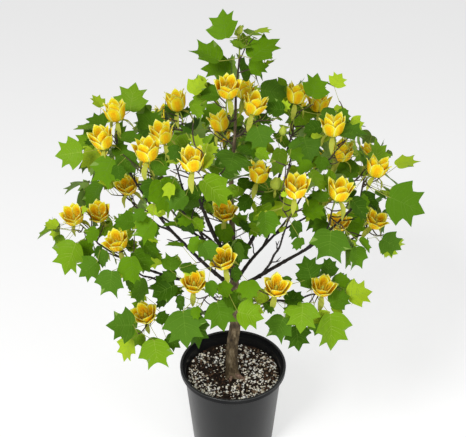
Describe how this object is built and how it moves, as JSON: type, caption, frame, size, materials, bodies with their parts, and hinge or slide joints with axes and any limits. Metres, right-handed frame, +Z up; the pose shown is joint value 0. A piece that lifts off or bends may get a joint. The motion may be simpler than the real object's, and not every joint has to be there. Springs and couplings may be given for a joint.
{
  "type": "potted tulip tree",
  "caption": "Young tulip tree in flower, with an open rounded crown of lobed leaves and yellow cup flowers, in a round black nursery pot.",
  "frame": {"origin": "centre of the pot's flat underside", "axes": "+Z up along the trunk, -Y towards the front of the crown, +X to the right"},
  "size_m": [0.8308, 0.74, 1.1678],
  "materials": {
    "foliage": "satin",
    "petals": "satin",
    "trunk_bark": "matte",
    "bough_bark": "matte",
    "pot_plastic": "satin",
    "potting_mix": "matte"
  },
  "bodies": {
    "root": {"bough_back": "bough_bark", "bough_back_left": "bough_bark", "bough_back_left_high": "bough_bark", "bough_back_left_side": "bough_bark", "bough_back_right": "bough_bark", "bough_back_right_high": "bough_bark", "bough_back_right_side": "bough_bark", "bough_front": "bough_bark", "bough_front_right": "bough_bark", "bough_left_bottom": "bough_bark", "bough_left_face": "bough_bark", "bough_left_front": "bough_bark", "bough_left_high": "bough_bark", "bough_left_inner": "bough_bark", "bough_left_long": "bough_bark", "bough_left_low": "bough_bark", "bough_left_top": "bough_bark", "bough_right_bottom": "bough_bark", "bough_right_front": "bough_bark", "bough_right_high": "bough_bark", "bough_right_inner": "bough_bark", "bough_right_long": "bough_bark", "bough_right_outer": "bough_bark", "bough_right_top": "bough_bark", "foliage_back": "foliage", "foliage_back_left": "foliage", "foliage_back_left_high": "foliage", "foliage_back_left_side": "foliage", "foliage_back_right": "foliage", "foliage_back_right_high": "foliage", "foliage_back_right_side": "foliage", "foliage_centre": "foliage", "foliage_centre_high": "foliage", "foliage_front": "foliage", "foliage_front_right": "foliage", "foliage_inner_back": "foliage", "foliage_left_bottom": "foliage", "foliage_left_face": "foliage", "foliage_left_front": "foliage", "foliage_left_high": "foliage", "foliage_left_inner": "foliage", "foliage_left_long": "foliage", "foliage_left_low": "foliage", "foliage_left_top": "foliage", "foliage_right_bottom": "foliage", "foliage_right_front": "foliage", "foliage_right_high": "foliage", "foliage_right_inner": "foliage", "foliage_right_long": "foliage", "foliage_right_outer": "foliage", "foliage_right_top": "foliage", "foliage_top": "foliage", "foliage_top_back": "foliage", "foliage_top_front": "foliage", "foliage_top_right": "foliage", "pot": "pot_plastic", "potting_mix": "potting_mix", "trunk": "trunk_bark"}
  },
  "joints": []
}
